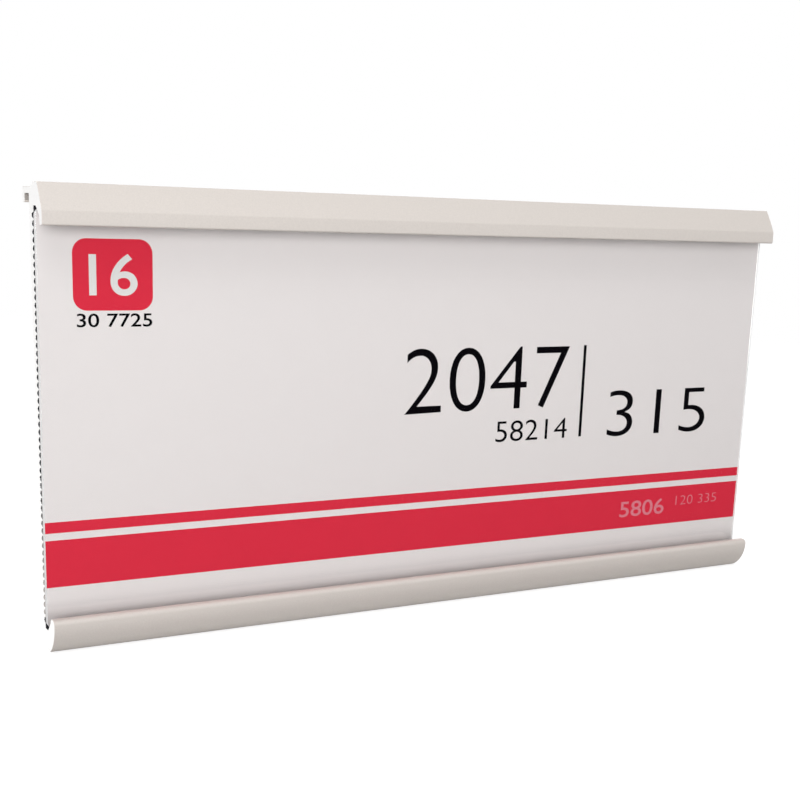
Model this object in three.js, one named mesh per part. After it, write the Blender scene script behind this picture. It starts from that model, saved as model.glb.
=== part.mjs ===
// A cubicle name plate: an extruded aluminium holder that hangs on a partition's rail by a
// hook along its top, with a printed card that slides in from either end behind a clear cover.
// Millimetres. X runs along the plate, the front faces -Y, and Z is up.
// The origin is the middle of the holder's flat back face.
import * as THREE from "three";

// Overall size of the holder
const holderLength = 200;
const holderHeight = 100;

// The wall between the lips: a flat back and a fluted front. A flute tapers to a round bottom.
const wallThickness = 2.0;
const fluteDepth = 1.2;
const flutePitch = 1.67;
const ribWidth = 0.4;
const fluteBottomRadius = 0.5;
const fluteSteps = 6;

// The three sheets of the insert, from the wall to the front
const backingThickness = 0.4;
const cardThickness = 0.3;
const coverThickness = 0.8;
const sheetPlay = 0.05;
const sheetCornerRadius = 1.5;

// The grooves behind the lips: the solid metal over and under them, how much taller they are
// than the sheets, and how near their ends come to the cover
const topRootHeight = 4.8;
const bottomRootHeight = 4.7;
const floorPlay = 0.1;
const roofPlay = 0.4;
const grooveGrip = 0.25;

// Top lip: a slanted face that bulges a little, over an upright band
const topEdgeForward = 1.5;
const topLipForward = 4.8;
const topSlantHeight = 5.75;
const topSlantBulge = 0.15;
const topBandHeight = 2.85;
const topLipWall = 2.1;
const topThroatHeight = 1.8;

// Bottom lip: a blunt tip with round corners, and one round face that sweeps back under it
const bottomEdgeForward = 1.4;
const bottomLipForward = 5.5;
const bottomLipHeight = 8.1;
const bottomLipWall = 3.0;
const bottomTipRadius = 1.1;

// Hook along the back of the top edge
const shoulderDepth = 3.2;
const shoulderRamp = 1.8;
const shoulderDrop = 1.0;
const flangeThickness = 1.4;
const hookChannel = 3.4;
const hookLegThickness = 1.9;
const hookLegDrop = 1.8;

// Small radii on the extrusion's outer corners
const cornerRadius = 0.4;
const cornerSteps = 3;
const curveSteps = 8;

// Places worked out from the sizes above. y is the depth, with the back face at 0.
const ribY = -(wallThickness + fluteDepth);
const backingY = ribY - sheetPlay;
const cardY = backingY - backingThickness - sheetPlay;
const coverY = cardY - cardThickness - sheetPlay;
const faceY = coverY - coverThickness;
const topZ = holderHeight / 2;
const bottomZ = -holderHeight / 2;
const floorZ = bottomZ + bottomRootHeight;
const roofZ = topZ - topRootHeight;
const sheetHeight = roofZ - roofPlay - floorZ - floorPlay;
const sheetMiddleZ = floorZ + floorPlay + sheetHeight / 2;

// Points along an arc in the section, angles in degrees from +y towards +z
function arcPoints(centreY, centreZ, radius, startAngle, endAngle, steps) {
  const points = [];
  for (let i = 0; i <= steps; i++) {
    const angle = THREE.MathUtils.degToRad(startAngle + ((endAngle - startAngle) * i) / steps);
    points.push([centreY + radius * Math.cos(angle), centreZ + radius * Math.sin(angle)]);
  }
  return points;
}

// Points from one end to the other of a bulging face. The bulge is the rise at its middle,
// to the left of the way from start to end.
function bulgePoints(start, end, bulge) {
  const a = new THREE.Vector2(...start);
  const b = new THREE.Vector2(...end);
  const along = b.clone().sub(a).normalize();
  const middle = a.clone().add(b).multiplyScalar(0.5);
  const control = middle.add(new THREE.Vector2(-along.y, along.x).multiplyScalar(2 * bulge));
  const curve = new THREE.QuadraticBezierCurve(a, control, b);
  return curve.getPoints(curveSteps).map((p) => [p.x, p.y]);
}

// The top lip and the shoulder over the wall, from the groove's roof out to the flange
function topLipOutline() {
  const frontY = faceY - topLipForward;
  const innerY = frontY + topLipWall;
  const lipZ = topZ - topSlantHeight - topBandHeight;
  const creaseZ = topZ - topSlantHeight;
  const edgeY = faceY - topEdgeForward;
  return [
    [faceY - grooveGrip, roofZ],
    [innerY, roofZ - topThroatHeight],
    ...arcPoints(innerY - cornerRadius, lipZ + cornerRadius, cornerRadius, 0, -90, cornerSteps),
    ...arcPoints(frontY + cornerRadius, lipZ + cornerRadius, cornerRadius, 270, 180, cornerSteps),
    ...bulgePoints([frontY, creaseZ], [edgeY, topZ], topSlantBulge),
    [edgeY + shoulderDepth, topZ],
  ];
}

// The hook: back along the flange, down the leg, and up the channel to the wall's back face
function hookOutline() {
  const rampY = faceY - topEdgeForward + shoulderDepth;
  const flangeZ = topZ - shoulderDrop;
  const legY = hookChannel + hookLegThickness;
  const channelZ = flangeZ - flangeThickness;
  const legZ = channelZ - hookLegDrop;
  return [
    [rampY + shoulderRamp, flangeZ],
    ...arcPoints(legY - cornerRadius, flangeZ - cornerRadius, cornerRadius, 90, 0, cornerSteps),
    ...arcPoints(legY - cornerRadius, legZ + cornerRadius, cornerRadius, 0, -90, cornerSteps),
    ...arcPoints(hookChannel + cornerRadius, legZ + cornerRadius, cornerRadius, 270, 180, cornerSteps),
    [hookChannel, channelZ],
    [0, channelZ],
  ];
}

// The bottom lip, from the wall's back face round under it and into the groove. The sweep's
// radius is the one that meets the upright below the tip without a crease.
function bottomLipOutline() {
  const frontY = faceY - bottomLipForward;
  const backY = frontY + bottomLipWall;
  const tipZ = bottomZ + bottomLipHeight - bottomTipRadius;
  const sweepDepth = bottomLipForward - bottomEdgeForward;
  const sweepHeight = tipZ - bottomZ;
  const sweepRadius = (sweepDepth ** 2 + sweepHeight ** 2) / (2 * sweepDepth);
  const sweepAngle = THREE.MathUtils.radToDeg(Math.atan2(sweepHeight, sweepRadius - sweepDepth));
  return [
    ...arcPoints(-cornerRadius, bottomZ + cornerRadius, cornerRadius, 0, -90, cornerSteps),
    ...arcPoints(frontY + sweepRadius, tipZ, sweepRadius, 180 + sweepAngle, 180, curveSteps),
    ...arcPoints(frontY + bottomTipRadius, tipZ, bottomTipRadius, 180, 90, cornerSteps).slice(1),
    ...arcPoints(backY - bottomTipRadius, tipZ, bottomTipRadius, 90, 0, cornerSteps),
    [faceY - grooveGrip, floorZ],
  ];
}

// The fluted front of the wall, from the groove's floor up to its roof
function fluteOutline() {
  const halfMouth = (flutePitch - ribWidth) / 2;
  const fluteCount = Math.floor((roofZ - floorZ - ribWidth) / flutePitch);
  const lowestZ = (floorZ + roofZ - (fluteCount - 1) * flutePitch) / 2;
  const bottomY = ribY + fluteDepth - fluteBottomRadius;
  const points = [[ribY, floorZ]];
  for (let i = 0; i < fluteCount; i++) {
    const z = lowestZ + i * flutePitch;
    points.push(
      [ribY, z - halfMouth],
      ...arcPoints(bottomY, z, fluteBottomRadius, -90, 90, fluteSteps),
      [ribY, z + halfMouth],
    );
  }
  points.push([ribY, roofZ]);
  return points;
}

// Extrudes a shape drawn in depth (y) and height (z) along X, centred on the plate's middle
function extrudeAlongX(points, length) {
  const shape = new THREE.Shape(points.map(([y, z]) => new THREE.Vector2(y, z)));
  const geometry = new THREE.ExtrudeGeometry(shape, { depth: length, bevelEnabled: false });
  geometry.translate(0, 0, -length / 2);
  const axes = new THREE.Matrix4().makeBasis(
    new THREE.Vector3(0, 1, 0),
    new THREE.Vector3(0, 0, 1),
    new THREE.Vector3(1, 0, 0),
  );
  return geometry.applyMatrix4(axes);
}

// A flat sheet with round corners. Its back face is at backY, and it stands on the groove's floor.
function sheetGeometry(backY, thickness, cornerRound) {
  const w = holderLength / 2;
  const h = sheetHeight / 2;
  const r = cornerRound;
  const corners = [
    ...arcPoints(w - r, h - r, r, 0, 90, cornerSteps),
    ...arcPoints(-w + r, h - r, r, 90, 180, cornerSteps),
    ...arcPoints(-w + r, -h + r, r, 180, 270, cornerSteps),
    ...arcPoints(w - r, -h + r, r, 270, 360, cornerSteps),
  ];
  const shape = new THREE.Shape(corners.map(([x, z]) => new THREE.Vector2(x, z)));
  const geometry = new THREE.ExtrudeGeometry(shape, { depth: thickness, bevelEnabled: false });
  geometry.rotateX(Math.PI / 2);
  geometry.translate(0, backY, sheetMiddleZ);
  return geometry;
}

const anodised = new THREE.MeshStandardMaterial({ color: 0xd8d3cd, roughness: 0.42, metalness: 0.85 });
const clearPlastic = new THREE.MeshStandardMaterial({
  color: 0xf6f8f8,
  roughness: 0.06,
  metalness: 0,
  transparent: true,
  opacity: 0.25,
});
const whiteCard = new THREE.MeshStandardMaterial({ color: 0xece8e5, roughness: 0.6, metalness: 0 });
const backingPlastic = new THREE.MeshStandardMaterial({ color: 0xdfe2e2, roughness: 0.5, metalness: 0 });

const plate = new THREE.Group();

function addPiece(name, geometry, material) {
  const mesh = new THREE.Mesh(geometry, material);
  mesh.name = name;
  plate.add(mesh);
}

const section = [...topLipOutline(), ...hookOutline(), ...bottomLipOutline(), ...fluteOutline()];
addPiece("holder_profile", extrudeAlongX(section, holderLength), anodised);
addPiece("backing_sheet", sheetGeometry(backingY, backingThickness, sheetCornerRadius), backingPlastic);
addPiece("printed_card", sheetGeometry(cardY, cardThickness, sheetCornerRadius), whiteCard);
addPiece("clear_cover", sheetGeometry(coverY, coverThickness, sheetCornerRadius), clearPlastic);

export default plate;
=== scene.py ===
# %% [markdown]
# # A cubicle name plate
#
# The plate is one length of aluminium extrusion with a lip along its top and its bottom. Three
# sheets slide in behind the lips: a stiff backing, a printed card and a clear cover. A frame
# already holds each of them as a plain solid of the right size. This script dresses that
# frame: it builds a finer mesh for every piece in the same place, and gives each one its finish.

# %% Load the frame
import math

import bmesh
import bpy
from mathutils import Matrix, Vector


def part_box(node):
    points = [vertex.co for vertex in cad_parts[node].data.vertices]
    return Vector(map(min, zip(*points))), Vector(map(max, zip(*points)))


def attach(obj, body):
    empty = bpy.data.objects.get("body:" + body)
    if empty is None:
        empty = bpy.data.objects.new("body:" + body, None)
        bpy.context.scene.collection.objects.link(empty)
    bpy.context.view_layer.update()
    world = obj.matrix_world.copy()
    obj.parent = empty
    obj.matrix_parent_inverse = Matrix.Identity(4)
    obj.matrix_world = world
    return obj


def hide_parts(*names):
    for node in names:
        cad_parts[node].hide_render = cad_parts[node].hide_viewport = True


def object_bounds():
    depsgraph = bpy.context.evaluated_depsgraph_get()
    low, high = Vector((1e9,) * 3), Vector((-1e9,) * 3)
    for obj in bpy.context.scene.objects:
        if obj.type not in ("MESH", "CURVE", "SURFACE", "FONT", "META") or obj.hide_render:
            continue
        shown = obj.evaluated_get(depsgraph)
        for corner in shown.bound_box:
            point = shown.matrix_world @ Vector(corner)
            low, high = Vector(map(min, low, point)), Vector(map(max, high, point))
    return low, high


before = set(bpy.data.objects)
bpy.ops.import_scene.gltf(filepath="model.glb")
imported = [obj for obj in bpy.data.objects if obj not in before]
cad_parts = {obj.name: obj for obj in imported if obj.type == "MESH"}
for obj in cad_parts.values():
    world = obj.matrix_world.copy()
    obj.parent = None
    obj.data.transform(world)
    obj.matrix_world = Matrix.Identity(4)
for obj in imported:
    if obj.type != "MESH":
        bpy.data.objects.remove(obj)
cad_low, cad_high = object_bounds()
print("frame", [round(v, 4) for v in cad_low], "to", [round(v, 4) for v in cad_high])

# %% [markdown]
# Blender measures in metres, but a part this small is easier to think about in millimetres.
# Every size below is written in millimetres and turned into metres where a mesh is made.
# Colours are easier to read as a screen shows them, from 0 to 255, so one helper turns those
# into the linear numbers that Blender's sockets take.

# %% Units, colours and objects
MM = 0.001
WELD = 1e-7
WHITE = (1, 1, 1, 1)


def in_mm(node):
    low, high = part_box(node)
    return low / MM, high / MM


def grey(level):
    return (level, level, level, 1)


def screen_colour(red, green, blue):
    channels = []
    for value in (red, green, blue):
        share = value / 255
        channels.append(share / 12.92 if share <= 0.04045 else ((share + 0.055) / 1.055) ** 2.4)
    return (*channels, 1.0)


def new_object(name, data):
    """Puts a mesh, a text, a lamp or a camera into the scene."""
    obj = bpy.data.objects.new(name, data)
    bpy.context.scene.collection.objects.link(obj)
    return obj


holder_low, holder_high = in_mm("holder_profile")
backing_back_y = in_mm("backing_sheet")[1].y
cover_low, cover_high = in_mm("clear_cover")
SHEET_PLAY = 0.05
holder_rib_y = backing_back_y + SHEET_PLAY
holder_length = holder_high.x - holder_low.x
print("holder", round(holder_length, 2), "mm long and", round(holder_high.z - holder_low.z, 2), "mm tall")

# %% [markdown]
# ## The camera
#
# The photograph was taken a little to the left of the plate and slightly above its middle, with
# the camera tipped down. The picture was cropped afterwards, so the lens points below the
# middle of the frame. A camera's vertical shift does the same: it slides the frame over the
# view without turning the camera, and upright lines stay as they were.

# %% Camera
CAMERA_PLACE = Vector((-173.1, -285.9, 46.2))
CAMERA_AZIMUTH = math.radians(-29.87)
CAMERA_ELEVATION = math.radians(13.57)
CAMERA_ROLL = math.radians(1.95)
CAMERA_LENS = 60.2
CAMERA_SHIFT = 0.17

camera_data = bpy.data.cameras.new("photo_camera")
camera_data.lens = CAMERA_LENS
camera_data.shift_y = CAMERA_SHIFT
camera_data.clip_start = 0.01
camera_data.clip_end = 20.0
camera = new_object("photo_camera", camera_data)
turn = Matrix.Rotation(CAMERA_AZIMUTH, 4, "Z")
tilt = Matrix.Rotation(math.pi / 2 - CAMERA_ELEVATION, 4, "X")
roll = Matrix.Rotation(CAMERA_ROLL, 4, "Z")
camera.matrix_world = Matrix.Translation(CAMERA_PLACE * MM) @ turn @ tilt @ roll
bpy.context.scene.camera = camera
print("camera", [round(v, 3) for v in camera.location])

# %% [markdown]
# ## Trees of nodes
#
# The background, the finishes and the shapes below are all trees of nodes. A few helpers build
# them. The first gives a socket its value, whether that is a number or the output of another
# node, and the others make the kinds of node that are needed most.

# %% Helpers for every tree
def feed(tree, socket, value):
    """Gives a socket a number or a vector, or links it to the socket where its value comes from."""
    if isinstance(value, bpy.types.NodeSocket):
        tree.links.new(value, socket)
    else:
        socket.default_value = value


def feed_all(tree, node, **values):
    """Feeds a node's inputs by name, with _ for a space."""
    for label, value in values.items():
        feed(tree, node.inputs[label.replace("_", " ")], value)
    return node


def add_node(tree, kind, settings=None, **values):
    """A new node of that kind, with its settings made and its inputs fed by name."""
    node = tree.nodes.new(kind)
    for label, value in (settings or {}).items():
        setattr(node, label, value)
    return feed_all(tree, node, **values)


def maths(tree, operation, *values):
    """The result of a Math node, whose inputs are fed in order."""
    node = add_node(tree, "ShaderNodeMath", {"operation": operation})
    for socket, value in zip(node.inputs, values):
        feed(tree, socket, value)
    return node.outputs[0]


def axes(tree, vector):
    """A vector's X, Y and Z, each as a socket."""
    return add_node(tree, "ShaderNodeSeparateXYZ", Vector=vector).outputs


def new_group(name, kind, inputs, outputs):
    """An empty node group. inputs are (name, socket type, value), and outputs (name, socket type)."""
    tree = bpy.data.node_groups.new(name, kind)
    for label, socket_type, value in inputs:
        socket = tree.interface.new_socket(label, in_out="INPUT", socket_type="NodeSocket" + socket_type)
        if value is not None:
            socket.default_value = value
    for label, socket_type in outputs:
        tree.interface.new_socket(label, in_out="OUTPUT", socket_type="NodeSocket" + socket_type)
    return tree, tree.nodes.new("NodeGroupInput").outputs, tree.nodes.new("NodeGroupOutput").inputs


print("tree helpers ready")

# %% [markdown]
# Three more are for shaders alone: a smooth step, a blend of two shaders, and a test of how a
# ray got to a surface. The Light Path node knows the last: which kind of ray it is, and how
# often it has bounced.

# %% Helpers for shader trees
FIRST_BOUNCE = 0.5


def ramp(tree, value, start, end):
    """A smooth step from 0 to 1 as value goes from start to end."""
    step = add_node(tree, "ShaderNodeMapRange", {"interpolation_type": "SMOOTHSTEP"}, Value=value)
    return feed_all(tree, step, From_Min=start, From_Max=end).outputs[0]


def mix_shaders(tree, share, first, second):
    """The first shader where share is 0 and the second where it is 1."""
    node = add_node(tree, "ShaderNodeMixShader")
    for socket, value in zip(node.inputs, (share, first, second)):
        feed(tree, socket, value)
    return node.outputs[0]


def seen_directly(tree):
    """1 for rays from the camera, from gloss or through glass, and 0 for light that falls on matte."""
    path = add_node(tree, "ShaderNodeLightPath").outputs
    shine = maths(tree, "MAXIMUM", path["Is Glossy Ray"], path["Is Transmission Ray"])
    seen = maths(tree, "MAXIMUM", path["Is Camera Ray"], shine)
    before_matte = maths(tree, "LESS_THAN", path["Diffuse Depth"], FIRST_BOUNCE)
    return maths(tree, "MULTIPLY", seen, before_matte)


print("shader helpers ready")

# %% [markdown]
# ## Light, background and floor
#
# A pale, glossy object wants large, soft lights: small ones would leave hard spots on the metal
# and the cover. The world lights everything a little from all round, and three soft panels do
# the rest. A broad one on the left lights the front, one overhead shapes the lips, and one
# behind keeps the back from going dull. The world is plain white for rays that the camera or a
# shiny surface sends out, and less than half as bright as a lamp, so the whites of the card stay
# below pure white.

# %% World and lamps
WORLD_AS_LAMP = 0.42
PANELS = {
    "key_panel": {"place": (-0.75, -1.1, 0.2), "size": (1.0, 0.7), "power": 13.9},
    "top_panel": {"place": (-0.4, -0.5, 1.1), "size": (0.7, 0.4), "power": 3.5},
    "back_panel": {"place": (0.7, 1.3, 0.35), "size": (1.6, 1.0), "power": 16.0},
}

bpy.context.scene.view_settings.view_transform = "Standard"
world = bpy.data.worlds.new("studio")
bpy.context.scene.world = world
world.use_nodes = True
sky = world.node_tree
brightness = maths(sky, "MULTIPLY_ADD", seen_directly(sky), 1 - WORLD_AS_LAMP, WORLD_AS_LAMP)
feed_all(sky, sky.nodes["Background"], Color=WHITE, Strength=brightness)


def soft_panel(name, place, size, power):
    """A flat rectangular lamp that faces the plate's middle."""
    data = bpy.data.lights.new(name, "AREA")
    data.shape = "RECTANGLE"
    data.size, data.size_y = size
    data.energy = power
    lamp = new_object(name, data)
    lamp.location = place
    lamp.rotation_euler = (-Vector(place)).to_track_quat("-Z", "Y").to_euler()


for name, panel in PANELS.items():
    soft_panel(name, **panel)

# %% [markdown]
# The plate stands on a pale floor that keeps its soft shadow. The floor fades out with distance,
# so no horizon shows, and its underside is clear so that a view from below isn't blocked. Its
# own colour is a light grey, so that it throws only some light up at the lips. Rays that see it
# directly get a lift on top, which takes it to the white of the background.

# %% Floor
FLOOR_GAP = 0.02
FLOOR_HALF_SIDE = 3.0
FLOOR_FADE = (0.35, 0.9)
FLOOR_GREY = 0.46
FLOOR_LIFT = 0.73
FLOOR_ROUGHNESS = 0.9

floor_z = cad_low.z - FLOOR_GAP * MM


def stage_sheet(name, corners):
    """A flat four-sided sheet that belongs to the studio, and the node tree of its material."""
    mesh = bpy.data.meshes.new(name)
    mesh.from_pydata(corners, [], [(0, 1, 2, 3)])
    obj = new_object(name, mesh)
    material = bpy.data.materials.new(name)
    material.use_nodes = True
    mesh.materials.append(material)
    return obj, material.node_tree


def fade_out(tree, hidden):
    """Mixes the Principled shader with a clear one. hidden is 1 where nothing shows."""
    clear = add_node(tree, "ShaderNodeBsdfTransparent").outputs[0]
    blend = mix_shaders(tree, hidden, tree.nodes["Principled BSDF"].outputs[0], clear)
    feed_all(tree, tree.nodes["Material Output"], Surface=blend)


half = FLOOR_HALF_SIDE
corners = [(-half, -half, floor_z), (half, -half, floor_z), (half, half, floor_z), (-half, half, floor_z)]
_, floor = stage_sheet("floor", corners)
feed_all(
    floor,
    floor.nodes["Principled BSDF"],
    Base_Color=grey(FLOOR_GREY),
    Roughness=FLOOR_ROUGHNESS,
    Specular_IOR_Level=0.0,
    Emission_Color=WHITE,
    Emission_Strength=maths(floor, "MULTIPLY", seen_directly(floor), FLOOR_LIFT),
)
where = add_node(floor, "ShaderNodeTexCoord").outputs["Object"]
distance = add_node(floor, "ShaderNodeVectorMath", {"operation": "LENGTH"}, Vector=where)
far = ramp(floor, distance.outputs["Value"], *FLOOR_FADE)
below = add_node(floor, "ShaderNodeNewGeometry").outputs["Backfacing"]
fade_out(floor, maths(floor, "MAXIMUM", far, below))
print("floor at", round(floor_z, 5))

# %% [markdown]
# A glossy cover mirrors whatever stands before it. White surroundings would lay a grey veil over
# the black print, as they do in a real studio, and there a photographer puts up a dark screen
# beside the camera. This scene does the same: one dark sheet lies on the floor before the plate,
# and another stands at its far end. Their edges are soft, and only reflections see them. Half of
# those come from the back of the clear sheet and leave it through its front, as transmitted rays.
# The Light Path node tells them from rays that go straight through: they have bounced once.

# %% Dark screen for the reflections
SCREEN_GREY = 0.012
SCREEN_REACH = 1.5
SCREEN_HALF_WIDTH = 3.0
SCREEN_HEIGHT = 1.3
SCREEN_TOP_FADE = (0.45, 1.2)
SCREEN_LIFT_OFF = 0.0005


def dark_screen(name, start, end):
    """A dark sheet as wide as the view, from one (y, z) to another."""
    wide = SCREEN_HALF_WIDTH
    screen, tree = stage_sheet(name, [(-wide, *start), (-wide, *end), (wide, *end), (wide, *start)])
    screen.visible_camera = screen.visible_diffuse = screen.visible_shadow = False
    cloth = tree.nodes["Principled BSDF"]
    feed_all(tree, cloth, Base_Color=grey(SCREEN_GREY), Roughness=1.0, Specular_IOR_Level=0.0)
    place = axes(tree, add_node(tree, "ShaderNodeTexCoord").outputs["Object"])
    side = ramp(tree, maths(tree, "ABSOLUTE", place["X"]), wide / 2, wide)
    top = ramp(tree, place["Z"], *SCREEN_TOP_FADE)
    edges = maths(tree, "MAXIMUM", side, top)
    bounces = add_node(tree, "ShaderNodeLightPath").outputs["Glossy Depth"]
    straight_through = maths(tree, "LESS_THAN", bounces, FIRST_BOUNCE)
    fade_out(tree, maths(tree, "MAXIMUM", edges, straight_through))


foot = floor_z + SCREEN_LIFT_OFF
dark_screen("dark_screen_low", (holder_low.y * MM, foot), (-SCREEN_REACH, foot))
dark_screen("dark_screen_up", (-SCREEN_REACH, foot), (-SCREEN_REACH, floor_z + SCREEN_HEIGHT))
print("dark screen", SCREEN_REACH, "m before the plate")

# %% [markdown]
# ## Effects that several finishes share
#
# Real surfaces are never one flat number. Four small effects are built once, as shader node
# groups with named sockets, and each finish uses them at its own scale: a fine grain, the long
# lines that a die leaves on an extrusion, the marks of a saw blade, and faint smudges left by
# handling. They all read the object's own coordinates, which are metres on the real part. Each
# is noise, read at coordinates that are scaled, stretched or bent into rings first.

# %% Noise and stretching
def noise(tree, vector, detail, distortion=0.0):
    """Noise from 0 to 1, with lumps about one unit wide."""
    lumps = add_node(tree, "ShaderNodeTexNoise", Vector=vector, Scale=1.0, Detail=detail)
    return feed_all(tree, lumps, Distortion=distortion).outputs[0]


def scaled(tree, vector, factor):
    node = add_node(tree, "ShaderNodeVectorMath", {"operation": "SCALE"}, Vector=vector, Scale=factor)
    return node.outputs[0]


def inverse(tree, value):
    return maths(tree, "DIVIDE", 1.0, value)


print("noise ready")

# %% [markdown]
# **Grain** is an even, fine unevenness: the etched skin of anodised metal, the fibres of card.
# It multiplies the finish's colour by a little more or less than one, and gives the same
# pattern as a height for a bump.

# %% Grain
def make_grain():
    tree, given, result = new_group(
        "grain",
        "ShaderNodeTree",
        [
            ("Vector", "Vector", None),
            ("Colour", "Color", WHITE),
            ("Size", "Float", 0.001),
            ("Contrast", "Float", 0.02),
        ],
        [("Colour", "Color"), ("Height", "Float")],
    )
    height = noise(tree, scaled(tree, given["Vector"], inverse(tree, given["Size"])), detail=3.0)
    swing = maths(tree, "MULTIPLY_ADD", height, 2.0, -1.0)
    factor = maths(tree, "MULTIPLY_ADD", swing, given["Contrast"], 1.0)
    feed(tree, result["Colour"], scaled(tree, given["Colour"], factor))
    feed(tree, result["Height"], height)
    return tree


grain = make_grain()
print("made", grain.name)

# %% [markdown]
# **Drawn lines** are noise stretched along X. Metal pushed through a die comes out with faint
# scratches that run the whole length, very close together across it.

# %% Drawn lines
def make_drawn_lines():
    tree, given, result = new_group(
        "drawn_lines",
        "ShaderNodeTree",
        [("Vector", "Vector", None), ("Run", "Float", 0.2), ("Spacing", "Float", 0.0003)],
        [("Lines", "Float")],
    )
    across = inverse(tree, given["Spacing"])
    stretch = add_node(tree, "ShaderNodeCombineXYZ", X=inverse(tree, given["Run"]), Y=across, Z=across)
    stretched = add_node(tree, "ShaderNodeVectorMath", {"operation": "MULTIPLY"}, Vector=given["Vector"])
    feed(tree, stretched.inputs[1], stretch.outputs[0])
    feed(tree, result["Lines"], noise(tree, stretched.outputs[0], detail=4.0))
    return tree


drawn_lines = make_drawn_lines()
print("made", drawn_lines.name)

# %% [markdown]
# **Saw marks** are long shallow arcs. Every tooth of a round blade passes the cut along a
# circle much larger than the part, so the rings are centred far below it.

# %% Saw marks
def make_saw_marks():
    tree, given, result = new_group(
        "saw_marks",
        "ShaderNodeTree",
        [
            ("Vector", "Vector", None),
            ("Blade Centre", "Vector", (0, 0.09, -0.12)),
            ("Spacing", "Float", 0.0006),
        ],
        [("Height", "Float")],
    )
    reach = add_node(tree, "ShaderNodeVectorMath", {"operation": "DISTANCE"}, Vector=given["Vector"])
    feed(tree, reach.inputs[1], given["Blade Centre"])
    turns = maths(tree, "DIVIDE", reach.outputs["Value"], given["Spacing"])
    rings = add_node(tree, "ShaderNodeTexNoise", {"noise_dimensions": "1D"}, W=turns, Scale=1.0, Detail=3.0)
    feed(tree, result["Height"], rings.outputs[0])
    return tree


saw_marks = make_saw_marks()
print("made", saw_marks.name)

# %% [markdown]
# **Smudges** are large soft patches where hands and cloths have been. They change only the
# roughness, so they show in a reflection and nowhere else.

# %% Smudges
PATCH_LEVELS = (0.45, 0.7)
PATCH_DISTORTION = 0.8


def make_smudges():
    tree, given, result = new_group(
        "smudges",
        "ShaderNodeTree",
        [("Vector", "Vector", None), ("Size", "Float", 0.03)],
        [("Mask", "Float")],
    )
    place = scaled(tree, given["Vector"], inverse(tree, given["Size"]))
    patches = ramp(tree, noise(tree, place, detail=5.0, distortion=PATCH_DISTORTION), *PATCH_LEVELS)
    feed(tree, result["Mask"], patches)
    return tree


smudges = make_smudges()
print("made", smudges.name)

# %% [markdown]
# ## Finishes
#
# Each finish starts the same way, with a Principled shader and the object's coordinates. Most
# have a bump too, some thousandths of a millimetre deep. A few helpers do that, and each finish
# below then adds what makes it itself.

# %% The start of every finish
def new_finish(name):
    """A new material, its node tree, its Principled shader and the object's own coordinates."""
    material = bpy.data.materials.new(name)
    material.use_nodes = True
    tree = material.node_tree
    place = add_node(tree, "ShaderNodeTexCoord").outputs["Object"]
    return material, tree, tree.nodes["Principled BSDF"], place


def effect(tree, group, place, **values):
    """The outputs of a shared effect, read at that place."""
    return add_node(tree, "ShaderNodeGroup", {"node_tree": group}, Vector=place, **values).outputs


def bump(tree, height, depth):
    """A normal for that height, with its depth in millimetres."""
    node = add_node(tree, "ShaderNodeBump", Strength=1.0, Distance=depth * MM, Height=height)
    return node.outputs[0]


def vary(tree, pattern, swing, base):
    """base where the pattern is 0, and swing more where it is 1."""
    return maths(tree, "MULTIPLY_ADD", pattern, swing, base)


def mix_colours(tree, share, first, second):
    """The first colour where share is 0 and the second where it is 1."""
    node = add_node(tree, "ShaderNodeMix", {"data_type": "RGBA"}, Factor=share, A=first, B=second)
    return node.outputs["Result"]


print("finish helpers ready")

# %% [markdown]
# ** Painted shade in the hollows.** Inside the flutes, the grooves and the hook, the metal's colour
# is mixed towards a dark grey: painted shade for the shadow in those hollows. Each of those
# hollows is a region of the section. It darkens over a range of depths and ends short of the
# wall's back, and it lies between two heights, which are measured from the middle both up and
# down. The painted shade in the flutes is darkest near their two open ends, and paler again towards the
# foot.

# %% Where shade is painted on the metal
# The dark grey is painted shade, mixed into the metal's colour in its hollows.
HOLLOW_SHADE_GREY = screen_colour(10, 10, 22)
rib = holder_rib_y
HOLLOWS = {
    "flutes": {"depths": (rib + 0.01, rib + 0.12), "back": -0.5, "heights": (-1, cover_high.z)},
    "grooves": {"depths": (-7.2, -5.6), "back": -0.5, "heights": (43.3, 45.5)},
    "hook": {"depths": (-0.1, 0.3), "back": 3.6, "heights": (46.2, 47.7), "darkness": 0.45},
}
PALER_FOOT = (-40.0, -9.0)
DARK_ENDS = (95.0, 98.5)
FLUTE_LEAST = 0.25


def painted_hollow_shade(tree, place):
    """0 on open faces, and up to 1 of painted shade in the flutes, the grooves and the hook."""

    def hollow(depths, back, heights, darkness=1.0):
        """Darkens from the first depth to the second, as far as back, between those heights."""
        mask = ramp(tree, depth, *(d * MM for d in depths))
        for test, value, limit in (
            ("LESS_THAN", depth, back),
            ("GREATER_THAN", height, heights[0]),
            ("LESS_THAN", height, heights[1]),
        ):
            mask = maths(tree, "MULTIPLY", mask, maths(tree, test, value, limit * MM))
        return maths(tree, "MULTIPLY", mask, darkness)

    section = axes(tree, place)
    depth = section["Y"]
    height = maths(tree, "ABSOLUTE", section["Z"])
    flutes, grooves, hook = (hollow(**sizes) for sizes in HOLLOWS.values())
    at_ends = ramp(tree, maths(tree, "ABSOLUTE", section["X"]), *(x * MM for x in DARK_ENDS))
    above_foot = ramp(tree, section["Z"], *(z * MM for z in PALER_FOOT))
    darkest = maths(tree, "MULTIPLY", at_ends, above_foot)
    flutes = maths(tree, "MULTIPLY", flutes, vary(tree, darkest, 1 - FLUTE_LEAST, FLUTE_LEAST))
    return maths(tree, "MAXIMUM", maths(tree, "MAXIMUM", flutes, grooves), hook)


print("hollows:", *HOLLOWS)

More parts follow.
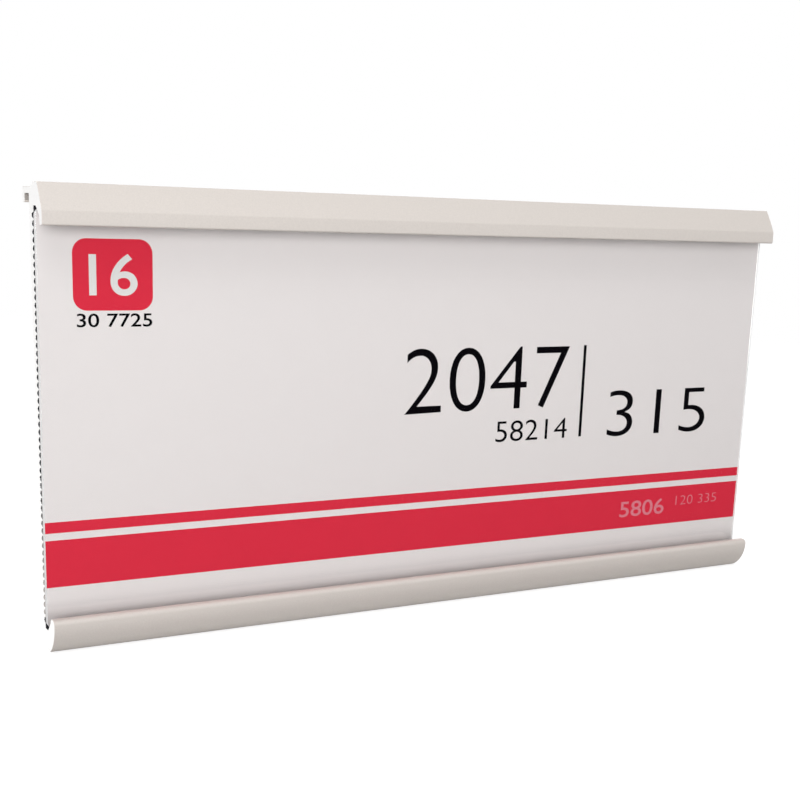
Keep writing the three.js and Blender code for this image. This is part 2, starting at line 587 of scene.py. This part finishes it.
# %% [markdown]
# **Satin anodised aluminium.** The metal is etched before it is anodised, which hides most of
# the die's lines and leaves a soft, slightly warm silver. The oxide skin scatters light, so the
# surface is less mirror-like than bare metal: the metallic value stays far under one and the
# roughness is high. The lines still show faintly in the roughness and the bump.

# %% Satin anodised aluminium
SILVER = screen_colour(213, 206, 200)
SILVER_METALLIC = 0.1
SILVER_ROUGHNESS = 0.6


def make_anodised():
    material, tree, shader, place = new_finish("satin_anodised_aluminium")
    lines = effect(tree, drawn_lines, place, Run=0.09, Spacing=0.00035)["Lines"]
    skin = effect(tree, grain, place, Colour=SILVER, Size=0.00028, Contrast=0.08)
    handled = effect(tree, smudges, place, Size=0.035)["Mask"]
    lined = vary(tree, lines, swing=0.12, base=SILVER_ROUGHNESS)
    feed_all(
        tree,
        shader,
        # Painted shade: the hollows are mixed towards a dark grey.
        Base_Color=mix_colours(tree, painted_hollow_shade(tree, place), skin["Colour"], HOLLOW_SHADE_GREY),
        Metallic=SILVER_METALLIC,
        Roughness=vary(tree, handled, swing=0.05, base=lined),
        Normal=bump(tree, vary(tree, skin["Height"], swing=0.5, base=lines), depth=0.004),
    )
    return material


anodised = make_anodised()
print("made", anodised.name)

# %% [markdown]
# **Sawn aluminium.** The bar is cut to length after it is anodised, so its ends are bare metal:
# brighter and harder than the skin, with the saw's arcs across them.

# %% Sawn aluminium
BARE_METAL = screen_colour(250, 249, 248)
BARE_METALLIC = 0.85


def make_sawn():
    material, tree, shader, place = new_finish("sawn_aluminium")
    marks = effect(tree, saw_marks, place)["Height"]
    feed_all(
        tree,
        shader,
        Base_Color=effect(tree, grain, place, Colour=BARE_METAL, Size=0.00015, Contrast=0.05)["Colour"],
        Metallic=BARE_METALLIC,
        Roughness=vary(tree, marks, swing=0.2, base=0.25),
        Normal=bump(tree, marks, depth=0.02),
    )
    return material


sawn = make_sawn()
print("made", sawn.name)

# %% [markdown]
# ** White card.** Uncoated card is nearly flat white, with cloudy patches where the fibres lie
# thicker and a fine tooth. Along its foot, down in the groove behind the bottom lip, its colour
# is greyed with painted shade, for the shadow of the lip. One smooth step over the height mixes that in.

# %% White card
CARD_WHITE = screen_colour(238, 230, 229)
CARD_SHINE = 0.15
# Painted shade: the card's colour greys towards its foot, for the bottom lip's shadow.
FOOT_SHADE_GREY = screen_colour(128, 116, 116)
FOOT_SHADE_DROPS = (38.0, 44.5)
FOOT_SHADE_SHARE = 0.5


def make_card_stock():
    material, tree, shader, place = new_finish("white_card_stock")
    clouds = effect(tree, grain, place, Colour=CARD_WHITE, Size=0.004, Contrast=0.012)["Colour"]
    fibres = effect(tree, grain, place, Colour=clouds, Size=0.00025, Contrast=0.02)
    # The painted shade along the foot grows as the height drops.
    drop = maths(tree, "MULTIPLY", axes(tree, place)["Z"], -1.0)
    near_foot = ramp(tree, drop, *(d * MM for d in FOOT_SHADE_DROPS))
    foot_shade = maths(tree, "MULTIPLY", near_foot, FOOT_SHADE_SHARE)
    feed_all(
        tree,
        shader,
        Base_Color=mix_colours(tree, foot_shade, fibres["Colour"], FOOT_SHADE_GREY),
        Roughness=vary(tree, fibres["Height"], swing=0.15, base=0.6),
        Specular_IOR_Level=CARD_SHINE,
        Normal=bump(tree, fibres["Height"], depth=0.0015),
    )
    return material


card_stock = make_card_stock()
print("made", card_stock.name)

# %% [markdown]
# **Backing plastic.** A thin matte sheet with the faint orange-peel that extruded plastic has.

# %% Backing plastic
BACKING_WHITE = screen_colour(223, 226, 226)


def make_backing_plastic():
    material, tree, shader, place = new_finish("matte_backing_plastic")
    peel = effect(tree, grain, place, Colour=BACKING_WHITE, Size=0.0008, Contrast=0.015)
    feed_all(
        tree,
        shader,
        Base_Color=peel["Colour"],
        Roughness=vary(tree, peel["Height"], swing=0.1, base=0.45),
        Normal=bump(tree, peel["Height"], depth=0.008),
    )
    return material


backing_plastic = make_backing_plastic()
print("made", backing_plastic.name)

# %% [markdown]
# **Light through the cover.** A plain refracting shader would keep the lamps' light from the
# card behind it, because a ray sent straight to a lamp can't bend. So for those rays, and for
# the matte light that the card sends back, the shader is swapped for a transparent one, and the
# card is lit once and as it should be.

# %% Letting the light through
CLEAR_TINT = screen_colour(252, 253, 253)


def let_light_through(tree, shader):
    """Swaps the shader for a transparent one, for matte light and for rays sent to a lamp."""
    ray_is = add_node(tree, "ShaderNodeLightPath").outputs
    clear = add_node(tree, "ShaderNodeBsdfTransparent", Color=CLEAR_TINT).outputs[0]
    shown = shader.outputs[0]
    for kind in ("Is Diffuse Ray", "Is Shadow Ray"):
        shown = mix_shaders(tree, ray_is[kind], shown, clear)
    feed_all(tree, tree.nodes["Material Output"], Surface=shown)


print("clear tint", [round(v, 3) for v in CLEAR_TINT])

# %% [markdown]
# **Clear plastic.** Glass-like, with a clean reflection that smudges blur a little.

# %% Clear plastic
PLASTIC_IOR = 1.49


def make_clear_plastic():
    material, tree, shader, place = new_finish("clear_glossy_plastic")
    handled = effect(tree, smudges, place, Size=0.03)["Mask"]
    feed_all(
        tree,
        shader,
        Base_Color=effect(tree, grain, place, Colour=CLEAR_TINT, Size=0.012, Contrast=0.004)["Colour"],
        Roughness=vary(tree, handled, swing=0.035, base=0.03),
        Transmission_Weight=1.0,
        IOR=PLASTIC_IOR,
    )
    let_light_through(tree, shader)
    return material


clear_plastic = make_clear_plastic()
print("made", clear_plastic.name)

# %% [markdown]
# **The cover's cut edge.** A saw or a knife leaves a clear sheet's edge frosted. It scatters the
# light that travels inside the sheet, so from the side it shows as a pale, milky line. It passes
# most of the light on to the card, so it gets the same swap as the clear plastic.

# %% Frosted edge
FROSTED_WHITE = screen_colour(236, 238, 238)


def make_frosted_edge():
    material, tree, shader, place = new_finish("frosted_cut_edge")
    cuts = effect(tree, grain, place, Colour=FROSTED_WHITE, Size=0.00012, Contrast=0.06)
    feed_all(
        tree,
        shader,
        Base_Color=cuts["Colour"],
        Roughness=vary(tree, cuts["Height"], swing=0.2, base=0.5),
        Normal=bump(tree, cuts["Height"], depth=0.01),
    )
    let_light_through(tree, shader)
    return material


frosted_edge = make_frosted_edge()
print("made", frosted_edge.name)

# %% [markdown]
# **Printing ink** lies on the card as a film about a hundredth of a millimetre thick, a little
# smoother than the card, and never perfectly even.

# %% Printing inks
def make_ink(name, colour):
    material, tree, shader, place = new_finish(name)
    coat = effect(tree, grain, place, Colour=colour, Size=0.006, Contrast=0.02)["Colour"]
    dots = effect(tree, grain, place, Colour=coat, Size=0.0002, Contrast=0.05)
    feed_all(
        tree,
        shader,
        Base_Color=dots["Colour"],
        Roughness=vary(tree, dots["Height"], swing=0.15, base=0.38),
        Specular_IOR_Level=0.0,
        Normal=bump(tree, dots["Height"], depth=0.003),
    )
    return material


red_ink = make_ink("red_ink", screen_colour(226, 52, 72))
black_ink = make_ink("black_ink", screen_colour(10, 8, 12))
white_ink = make_ink("white_ink", screen_colour(232, 228, 226))
pale_ink = make_ink("pale_ink", screen_colour(228, 132, 145))
print("made", red_ink.name, black_ink.name, white_ink.name, pale_ink.name)

# %% [markdown]
# ## Geometry Nodes that the pieces share
#
# Every piece here is a flat outline pushed along a straight line, as a die or a cutter makes it.
# So the first node group is a **prism**: it extrudes a face, flips a copy of the face to close
# the start, and merges the two.

# %% The prism
def make_prism():
    tree, given, result = new_group(
        "prism",
        "GeometryNodeTree",
        [("Face", "Geometry", None), ("Travel", "Vector", (0, 0, 0.001))],
        [("Geometry", "Geometry")],
    )
    face = given["Face"]
    pushed = add_node(tree, "GeometryNodeExtrudeMesh", Mesh=face, Offset=given["Travel"], Individual=False)
    start = add_node(tree, "GeometryNodeFlipFaces", Mesh=face)
    joined = add_node(tree, "GeometryNodeJoinGeometry")
    tree.links.new(pushed.outputs["Mesh"], joined.inputs[0])
    tree.links.new(start.outputs[0], joined.inputs[0])
    merged = add_node(tree, "GeometryNodeMergeByDistance", Geometry=joined.outputs[0], Distance=WELD)
    feed(tree, result[0], merged.outputs[0])
    return tree


prism = make_prism()
print("made", prism.name)

# %% [markdown]
# Two helpers place the commonest pair of nodes in the groups below: a prism along one axis, and
# a material on chosen faces.

# %% Placing a prism, and giving a finish
def prism_of(tree, face, **travel):
    """The face pushed along one axis, such as X=0.2 in metres."""
    way = add_node(tree, "ShaderNodeCombineXYZ", **travel).outputs[0]
    return add_node(tree, "GeometryNodeGroup", {"node_tree": prism}, Face=face, Travel=way).outputs[0]


def finished(tree, geometry, finish, selection=True):
    """The geometry with that material on the selected faces."""
    node = add_node(tree, "GeometryNodeSetMaterial", Geometry=geometry, Selection=selection, Material=finish)
    return node.outputs[0]


print("geometry helpers ready")

# %% [markdown]
# A modifier's inputs are set by each socket's identifier. Once the object has been evaluated,
# its result is copied into a plain mesh and the modifiers are taken away. A weighted normal
# keeps the large flat faces flat in the shading, beside small rounded edges.

# %% Setting inputs, and turning the result into a mesh
SHARP_ANGLE = math.radians(38)


def grow_with(obj, group, **values):
    """Adds the node group as a modifier, with its inputs by name."""
    modifier = obj.modifiers.new(group.name, "NODES")
    modifier.node_group = group
    names = {i.name: i.identifier for i in group.interface.items_tree if i.in_out == "INPUT"}
    for label, value in values.items():
        modifier[names[label.replace("_", " ")]] = value


def evaluated_mesh(obj):
    graph = bpy.context.evaluated_depsgraph_get()
    return bpy.data.meshes.new_from_object(obj.evaluated_get(graph), depsgraph=graph)


def bake(obj):
    """Replaces the object's mesh by what its modifiers make of it, with sharp edges kept."""
    made = evaluated_mesh(obj)
    obj.modifiers.clear()
    obj.data = made
    for i in reversed(range(len(made.materials))):
        if made.materials[i] is None:
            made.materials.pop(index=i)
    made.shade_smooth()
    made.set_sharp_from_angle(angle=SHARP_ANGLE)
    weighted = obj.modifiers.new("weighted_normal", "WEIGHTED_NORMAL")
    weighted.keep_sharp = True
    obj.data = evaluated_mesh(obj)
    obj.modifiers.clear()
    obj.data.name = obj.name
    return obj


def flat_face(name, points, x):
    """One face in the plane across X, from (y, z) points in millimetres, that looks along +X."""
    mesh = bpy.data.meshes.new(name)
    mesh.from_pydata([(x * MM, y * MM, z * MM) for y, z in points], [], [range(len(points))])
    mesh.update()
    if mesh.polygons[0].normal.x < 0:
        mesh.flip_normals()
    return new_object(name, mesh)


print("mesh helpers ready")

# %% [markdown]
# ## The holder
#
# The extrusion has one outline from end to end. Its sizes repeat those of the frame's solid, and
# two kinds of curve draw it: arcs for the radii, and a gentle bulge for the slanted face of the
# top lip, which isn't quite flat.

# %% The two curves of the outline
ARC_STEPS = 8
BULGE_STEPS = 20


def arc(centre_y, centre_z, radius, start, end, steps=ARC_STEPS):
    """Points along an arc, angles in degrees from +y towards +z."""
    points = []
    for i in range(steps + 1):
        angle = math.radians(start + (end - start) * i / steps)
        points.append((centre_y + radius * math.cos(angle), centre_z + radius * math.sin(angle)))
    return points


def bulge(start, end, rise, steps=BULGE_STEPS):
    """Points from start to end of a face that rises by that much at its middle, to the left of its way."""
    a, b = Vector(start), Vector(end)
    along = (b - a).normalized()
    control = (a + b) / 2 + Vector((-along.y, along.x)) * 2 * rise
    points = []
    for i in range(steps + 1):
        t = i / steps
        points.append(tuple((1 - t) ** 2 * a + 2 * t * (1 - t) * control + t**2 * b))
    return points


print("curves ready")

# %% [markdown]
# The outline runs over the top lip, back along the flange and down the hook's leg, down the
# back, round the bottom lip and up the front of the wall. The flutes in that front come next,
# cut by the node group.

# %% The outline
BACK_Y = 0.0
RIB_Y = holder_rib_y
FACE_Y = cover_low.y
TOP_Z = holder_high.z
BOTTOM_Z = holder_low.z
ROOF_Z = TOP_Z - 4.8
FLOOR_Z = BOTTOM_Z + 4.7
GROOVE_GRIP = 0.25
CORNER = 0.4

TOP_FRONT_Y = FACE_Y - 4.8
TOP_EDGE_Y = FACE_Y - 1.5
CREASE_Z = TOP_Z - 5.75
TOP_LIP_Z = CREASE_Z - 2.85
TOP_INNER_Y = TOP_FRONT_Y + 2.1
THROAT_HEIGHT = 1.8
SLANT_RISE = 0.15

SHOULDER_Y = TOP_EDGE_Y + 3.2
RAMP_Y = SHOULDER_Y + 1.8
FLANGE_Z = TOP_Z - 1.0
CHANNEL_Z = FLANGE_Z - 1.4
CHANNEL_Y = 3.4
LEG_Y = holder_high.y
LEG_Z = CHANNEL_Z - 1.8

BOTTOM_FRONT_Y = holder_low.y
BOTTOM_EDGE_Y = FACE_Y - 1.4
BOTTOM_INNER_Y = BOTTOM_FRONT_Y + 3.0
TIP_RADIUS = 1.1
TIP_Z = BOTTOM_Z + 8.1 - TIP_RADIUS
SWEEP_DEPTH = BOTTOM_EDGE_Y - BOTTOM_FRONT_Y
SWEEP_HEIGHT = TIP_Z - BOTTOM_Z
SWEEP_RADIUS = (SWEEP_DEPTH**2 + SWEEP_HEIGHT**2) / (2 * SWEEP_DEPTH)
SWEEP_ANGLE = math.degrees(math.atan2(SWEEP_HEIGHT, SWEEP_RADIUS - SWEEP_DEPTH))
SWEEP_STEPS = 24


def holder_outline():
    top_lip = [
        (FACE_Y - GROOVE_GRIP, ROOF_Z),
        (TOP_INNER_Y, ROOF_Z - THROAT_HEIGHT),
        *arc(TOP_INNER_Y - CORNER, TOP_LIP_Z + CORNER, CORNER, 0, -90),
        *arc(TOP_FRONT_Y + CORNER, TOP_LIP_Z + CORNER, CORNER, 270, 180),
        *bulge((TOP_FRONT_Y, CREASE_Z), (TOP_EDGE_Y, TOP_Z), SLANT_RISE),
        (SHOULDER_Y, TOP_Z),
    ]
    hook = [
        (RAMP_Y, FLANGE_Z),
        *arc(LEG_Y - CORNER, FLANGE_Z - CORNER, CORNER, 90, 0),
        *arc(LEG_Y - CORNER, LEG_Z + CORNER, CORNER, 0, -90),
        *arc(CHANNEL_Y + CORNER, LEG_Z + CORNER, CORNER, 270, 180),
        (CHANNEL_Y, CHANNEL_Z),
        (BACK_Y, CHANNEL_Z),
    ]
    bottom_lip = [
        *arc(BACK_Y - CORNER, BOTTOM_Z + CORNER, CORNER, 0, -90),
        *arc(BOTTOM_FRONT_Y + SWEEP_RADIUS, TIP_Z, SWEEP_RADIUS, 180 + SWEEP_ANGLE, 180, SWEEP_STEPS),
        *arc(BOTTOM_FRONT_Y + TIP_RADIUS, TIP_Z, TIP_RADIUS, 180, 90)[1:],
        *arc(BOTTOM_INNER_Y - TIP_RADIUS, TIP_Z, TIP_RADIUS, 90, 0),
        (FACE_Y - GROOVE_GRIP, FLOOR_Z),
    ]
    wall_front = [(RIB_Y, FLOOR_Z), (RIB_Y, ROOF_Z)]
    return [*top_lip, *hook, *bottom_lip, *wall_front]


holder = flat_face("holder", holder_outline(), -holder_length / 2)
print("outline with", len(holder.data.vertices), "points")

# %% [markdown]
# The wall's front is ribbed: narrow flutes run side by side from the bottom groove to the top
# one. One flute's outline is drawn once, open to the front, with its mouth eased by a tiny
# chamfer. Its bottom is round.

# %% One flute
FLUTE_PITCH = 1.67
RIB_WIDTH = 0.4
FLUTE_DEPTH = 1.2
FLUTE_RADIUS = 0.5
MOUTH_EASE = 0.05
CUT_MARGIN = 0.3

half_mouth = (FLUTE_PITCH - RIB_WIDTH) / 2
flute_centre_y = RIB_Y + FLUTE_DEPTH - FLUTE_RADIUS
flute_points = [
    (RIB_Y - CUT_MARGIN, -half_mouth - MOUTH_EASE),
    (RIB_Y, -half_mouth - MOUTH_EASE),
    (RIB_Y + MOUTH_EASE, -half_mouth),
    *arc(flute_centre_y, 0, FLUTE_RADIUS, -90, 90),
    (RIB_Y + MOUTH_EASE, half_mouth),
    (RIB_Y, half_mouth + MOUTH_EASE),
    (RIB_Y - CUT_MARGIN, half_mouth + MOUTH_EASE),
]
flute_face = flat_face("flute_outline", flute_points, -holder_length / 2 - CUT_MARGIN)
flute_count = int((ROOF_Z - FLOOR_Z - RIB_WIDTH) // FLUTE_PITCH)
lowest_flute = (FLOOR_Z + ROOF_Z - (flute_count - 1) * FLUTE_PITCH) / 2
print(flute_count, "flutes from", round(lowest_flute, 2), "mm up")

# %% [markdown]
# The node group does what the workshop does. It extrudes the bar, repeats the flute up the wall
# and cuts it away, then marks the edges at both ends so that a Bevel modifier can take the burr
# off them. The end faces get the sawn finish and everything else the anodised one.

# %% The fluted extrusion
NEARLY_HALF = 0.4999


def make_fluted_extrusion():
    tree, given, result = new_group(
        "fluted_extrusion",
        "GeometryNodeTree",
        [
            ("Section", "Geometry", None),
            ("Flute Outline", "Object", None),
            ("Length", "Float", 0.2),
            ("Cut Margin", "Float", 0.0003),
            ("Flute Count", "Int", 50),
            ("Flute Pitch", "Float", 0.0017),
            ("Lowest Flute", "Float", -0.04),
            ("Skin", "Material", None),
            ("End Finish", "Material", None),
        ],
        [("Geometry", "Geometry")],
    )
    bar = prism_of(tree, given["Section"], X=given["Length"])
    further = maths(tree, "MULTIPLY_ADD", given["Cut Margin"], 2.0, given["Length"])
    outline = add_node(tree, "GeometryNodeObjectInfo", Object=given["Flute Outline"])
    cutter = prism_of(tree, outline.outputs["Geometry"], X=further)

    first = add_node(tree, "ShaderNodeCombineXYZ", Z=given["Lowest Flute"]).outputs[0]
    step = add_node(tree, "ShaderNodeCombineXYZ", Z=given["Flute Pitch"]).outputs[0]
    row = add_node(
        tree, "GeometryNodeMeshLine", Count=given["Flute Count"], Start_Location=first, Offset=step
    )
    flutes = add_node(tree, "GeometryNodeInstanceOnPoints", Points=row.outputs[0], Instance=cutter)
    solid_flutes = add_node(tree, "GeometryNodeRealizeInstances", Geometry=flutes.outputs[0])
    cut = add_node(tree, "GeometryNodeMeshBoolean", {"operation": "DIFFERENCE", "solver": "EXACT"})
    tree.links.new(bar, cut.inputs[0])
    tree.links.new(solid_flutes.outputs[0], cut.inputs[1])

    place = axes(tree, add_node(tree, "GeometryNodeInputPosition").outputs[0])
    at_end = add_node(
        tree,
        "FunctionNodeCompare",
        {"data_type": "FLOAT", "operation": "GREATER_THAN"},
        A=maths(tree, "ABSOLUTE", place["X"]),
        B=maths(tree, "MULTIPLY", given["Length"], NEARLY_HALF),
    ).outputs[0]
    marked = add_node(
        tree,
        "GeometryNodeStoreNamedAttribute",
        {"data_type": "FLOAT", "domain": "EDGE"},
        Geometry=cut.outputs["Mesh"],
        Selection=at_end,
        Name="bevel_weight_edge",
        Value=1.0,
    )
    whole = add_node(tree, "GeometryNodeRealizeInstances", Geometry=marked.outputs[0]).outputs[0]
    coated = finished(tree, whole, given["Skin"])
    feed(tree, result[0], finished(tree, coated, given["End Finish"], at_end))
    return tree


fluted_extrusion = make_fluted_extrusion()
print("made", fluted_extrusion.name, "with", len(fluted_extrusion.nodes), "nodes")

# %% [markdown]
# The group becomes a modifier on the section, and its named inputs get the sizes from above. A
# Bevel that follows the marked edges takes the burr off both ends, and then the result is baked.

# %% The holder's mesh
END_BREAK = 0.08

grow_with(
    holder,
    fluted_extrusion,
    Flute_Outline=flute_face,
    Length=holder_length * MM,
    Cut_Margin=CUT_MARGIN * MM,
    Flute_Count=flute_count,
    Flute_Pitch=FLUTE_PITCH * MM,
    Lowest_Flute=lowest_flute * MM,
    Skin=anodised,
    End_Finish=sawn,
)
deburr = holder.modifiers.new("deburr", "BEVEL")
deburr.limit_method = "WEIGHT"
deburr.width = END_BREAK * MM
deburr.segments = 1
deburr.use_clamp_overlap = False
bake(holder)
bpy.data.objects.remove(flute_face)
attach(holder, "holder")
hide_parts("holder_profile")
print("holder", len(holder.data.polygons), "faces,", [m.name for m in holder.data.materials])

# %% [markdown]
# ## The sheets
#
# Backing, card and cover are the same shape in three thicknesses: a rectangle with cut corners
# rounded by a die. One node group makes them all, and the flat films of ink as well.

# %% The rounded sheet
LEVEL_WITH_FRONT = 0.5


def make_rounded_sheet():
    tree, given, result = new_group(
        "rounded_sheet",
        "GeometryNodeTree",
        [
            ("Width", "Float", 0.2),
            ("Height", "Float", 0.09),
            ("Corner Radius", "Float", 0.0015),
            ("Corner Steps", "Int", 10),
            ("Thickness", "Float", 0.0003),
            ("Back Middle", "Vector", (0, 0, 0)),
            ("Finish", "Material", None),
            ("Edge Finish", "Material", None),
        ],
        [("Geometry", "Geometry")],
    )
    outline = add_node(
        tree, "GeometryNodeCurvePrimitiveQuadrilateral", Width=given["Width"], Height=given["Height"]
    )
    rounded = add_node(
        tree,
        "GeometryNodeFilletCurve",
        {"mode": "POLY"},
        Curve=outline.outputs[0],
        Count=given["Corner Steps"],
        Radius=given["Corner Radius"],
        Limit_Radius=True,
    )
    filled = add_node(tree, "GeometryNodeFillCurve", {"mode": "NGONS"}, Curve=rounded.outputs[0])
    stood = add_node(
        tree,
        "GeometryNodeTransform",
        Geometry=prism_of(tree, filled.outputs[0], Z=given["Thickness"]),
        Translation=given["Back Middle"],
        Rotation=(math.pi / 2, 0, 0),
    )
    whole = add_node(tree, "GeometryNodeRealizeInstances", Geometry=stood.outputs[0]).outputs[0]
    facing = axes(tree, add_node(tree, "GeometryNodeInputNormal").outputs[0])
    on_edge = maths(tree, "LESS_THAN", maths(tree, "ABSOLUTE", facing["Y"]), LEVEL_WITH_FRONT)
    faces = finished(tree, whole, given["Finish"])
    feed(tree, result[0], finished(tree, faces, given["Edge Finish"], on_edge))
    return tree


rounded_sheet = make_rounded_sheet()
print("made", rounded_sheet.name)

# %% [markdown]
# A flat piece is an empty mesh with that group as its modifier, and a small Bevel that eases its
# edges. Its place is the middle of its back face.

# %% A piece made of it
BEVEL_FROM = math.radians(60)


def sheet_piece(name, width, height, corner, thickness, back_middle, finish, edge_break=0.0, edge=None):
    """A flat piece that stands upright, from sizes in millimetres."""
    obj = new_object(name, bpy.data.meshes.new(name))
    grow_with(
        obj,
        rounded_sheet,
        Width=width * MM,
        Height=height * MM,
        Corner_Radius=corner * MM,
        Thickness=thickness * MM,
        Back_Middle=Vector(back_middle) * MM,
        Finish=finish,
        Edge_Finish=edge or finish,
    )
    if edge_break > 0:
        soften = obj.modifiers.new("edge", "BEVEL")
        soften.limit_method = "ANGLE"
        soften.angle_limit = BEVEL_FROM
        soften.width = edge_break * MM
        soften.segments = 2
    return bake(obj)


print("sheet maker ready")

# %% [markdown]
# The three sheets take their places and thicknesses from the frame. The cover's sawn edges are
# eased the most, because a clear edge catches the light.

# %% Backing, card and cover
SHEET_CORNER = 1.5


def sheet_from_frame(name, node, finish, edge_break, edge=None):
    low, high = in_mm(node)
    size = high - low
    back_middle = ((low.x + high.x) / 2, high.y, (low.z + high.z) / 2)
    return sheet_piece(name, size.x, size.z, SHEET_CORNER, size.y, back_middle, finish, edge_break, edge)


backing = sheet_from_frame("backing", "backing_sheet", backing_plastic, 0.05)
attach(backing, "backing")
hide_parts("backing_sheet")

card = sheet_from_frame("card", "printed_card", card_stock, 0.03)
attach(card, "card")
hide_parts("printed_card")

cover = sheet_from_frame("cover", "clear_cover", clear_plastic, 0.1, frosted_edge)
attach(cover, "cover")
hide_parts("clear_cover")
print("sheets", [(o.name, len(o.data.polygons)) for o in (backing, card, cover)])

# %% [markdown]
# ## What is printed on the card
#
# A thin and a thick stripe run the whole width near the bottom, and a thin upright bar parts the
# two large numbers. All of it is ink, a film on the card's face in the narrow gap behind the
# cover. Each film is a real, very thin piece, so its edges stay crisp from close by. A guillotine
# never cuts a card quite square to its print, so the stripes lean by a few hundredths of a degree.

# %% Stripes, bar and badge
INK_THICKNESS = 0.012
card_low, card_high = in_mm("printed_card")
CARD_FACE_Y = card_low.y
CARD_BLEED = 0.1
FILM_CORNER = 0.05

STRIPE_LEAN = math.radians(0.07)
THIN_STRIPE = (-23.98, -21.53)
THICK_STRIPE = (-36.16, -25.59)
BAR_X = 42.45
BAR = (-9.8, 14.3)
BAR_WIDTH = 0.9
BADGE_X = (-92.5, -75.0)
BADGE = (23.9, 38.9)
BADGE_CORNER = 3.0


def film(name, left, right, low, high, corner, ink, lean=0.0):
    middle = ((left + right) / 2, CARD_FACE_Y, (low + high) / 2)
    obj = sheet_piece(name, right - left, high - low, corner, INK_THICKNESS, middle, ink)
    obj.data.transform(Matrix.Rotation(lean, 4, "Y"))
    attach(obj, "card")
    return obj


stripe_left = card_low.x + CARD_BLEED
stripe_right = card_high.x - CARD_BLEED
film("thin_stripe", stripe_left, stripe_right, *THIN_STRIPE, FILM_CORNER, red_ink, STRIPE_LEAN)
film("thick_stripe", stripe_left, stripe_right, *THICK_STRIPE, FILM_CORNER, red_ink, STRIPE_LEAN)
film("divider_bar", BAR_X - BAR_WIDTH / 2, BAR_X + BAR_WIDTH / 2, *BAR, FILM_CORNER, black_ink)
film("badge_tile", *BADGE_X, *BADGE, BADGE_CORNER, red_ink)

# %% [markdown]
# The numbers start as text objects in Blender's own font. Each is turned into a mesh, measured,
# scaled to the size that it has on the card, and only then stood up and put in its place.

# %% Numbers
def number_piece(name, digits, left, base, height, width, weight, ink, lift):
    """Digits with that left edge, base and size, in millimetres, as a film of ink on the card."""
    text = bpy.data.curves.new(name, "FONT")
    text.body = digits
    text.extrude = 0.5
    text.offset = weight
    text.resolution_u = 8
    source = new_object(name + "_text", text)
    mesh = evaluated_mesh(source)
    bpy.data.objects.remove(source)
    low = Vector([min(v.co[k] for v in mesh.vertices) for k in range(3)])
    high = Vector([max(v.co[k] for v in mesh.vertices) for k in range(3)])
    size = high - low
    scale = Matrix.Diagonal((width / size.x * MM, height / size.y * MM, INK_THICKNESS / size.z * MM, 1))
    stand = Matrix.Rotation(math.pi / 2, 4, "X")
    place = Matrix.Translation(Vector((left, CARD_FACE_Y - lift, base)) * MM)
    mesh.transform(place @ stand @ scale @ Matrix.Translation(-low))
    tidy = bmesh.new()
    tidy.from_mesh(mesh)
    bmesh.ops.remove_doubles(tidy, verts=tidy.verts, dist=WELD)
    bmesh.ops.recalc_face_normals(tidy, faces=tidy.faces)
    tidy.to_mesh(mesh)
    tidy.free()
    mesh.materials.clear()
    mesh.materials.append(ink)
    obj = new_object(name, mesh)
    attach(obj, "card")
    return obj


print("number maker ready")

# %% [markdown]
# Each number has a row below, with its size measured on the card. The weight thickens or thins
# the strokes. A number on red lies on the red film and not on the card.

# %% The seven numbers
ON_CARD = 0.0
ON_INK = INK_THICKNESS
NUMBERS = (
    # name, digits, left edge, base, height, width, weight, ink, lift
    ("main_number", "2047", -11.3, -1.7, 16.0, 48.8, -0.012, black_ink, ON_CARD),
    ("small_number", "58214", 15.7, -10.0, 5.4, 22.4, -0.006, black_ink, ON_CARD),
    ("side_number", "315", 51.4, -10.4, 12.4, 34.2, -0.012, black_ink, ON_CARD),
    ("badge_number", "16", -89.0, 27.0, 8.8, 10.6, 0.01, white_ink, ON_INK),
    ("badge_line", "30 7725", -91.8, 20.4, 2.9, 16.6, 0.01, black_ink, ON_CARD),
    ("band_number", "5806", 57.8, -33.2, 4.4, 15.6, 0.008, pale_ink, ON_INK),
    ("band_line", "120 335", 77.6, -31.2, 2.6, 15.0, -0.018, pale_ink, ON_INK),
)
for row in NUMBERS:
    number_piece(*row)
print("numbers", [name for name, *_ in NUMBERS])
